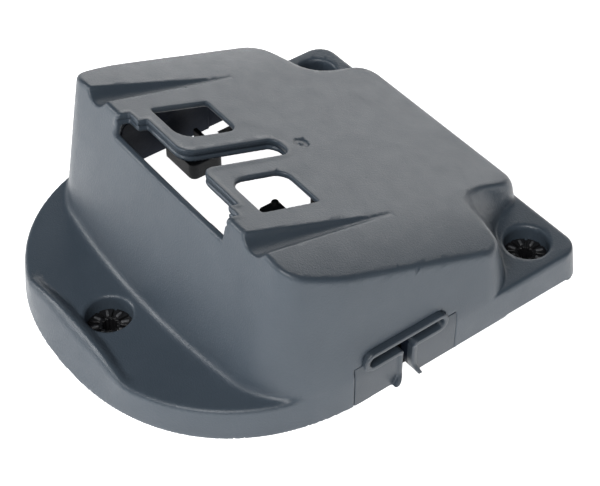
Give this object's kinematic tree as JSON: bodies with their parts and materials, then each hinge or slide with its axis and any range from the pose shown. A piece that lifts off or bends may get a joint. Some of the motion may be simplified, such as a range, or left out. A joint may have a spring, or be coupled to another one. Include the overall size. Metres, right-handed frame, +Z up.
{
  "type": "beltpack surface mount",
  "caption": "Hollow wedge-shaped moulded mount that screws to a flat surface and holds a clip-on audio beltpack on its sloping top, with cable guides in both sides.",
  "frame": {"origin": "centre of the footprint, on the surface that the mount stands on", "axes": "+Y from the low front flange to the rear, the longest way; +Z up out of the surface, the shortest way; +X to the right seen from the front"},
  "size_m": [0.1644, 0.1838, 0.0689],
  "materials": {
    "shell_plastic": "blue-grey moulded plastic with a fine grain and a satin sheen",
    "insert_plastic": "blue-grey plastic, a little smoother than the shell",
    "inner_plastic": "very dark grey plastic, matt",
    "black_rubber": "black moulded rubber"
  },
  "bodies": {
    "root": {"mount_shell": "shell_plastic", "cable_guide_right": "insert_plastic", "cable_guide_left": "insert_plastic", "cable_tray_right": "inner_plastic", "cable_tray_left": "inner_plastic", "clip_stop": "inner_plastic", "grommet_front": "black_rubber", "grommet_rear_left": "black_rubber", "grommet_rear_right": "black_rubber"}
  },
  "joints": []
}
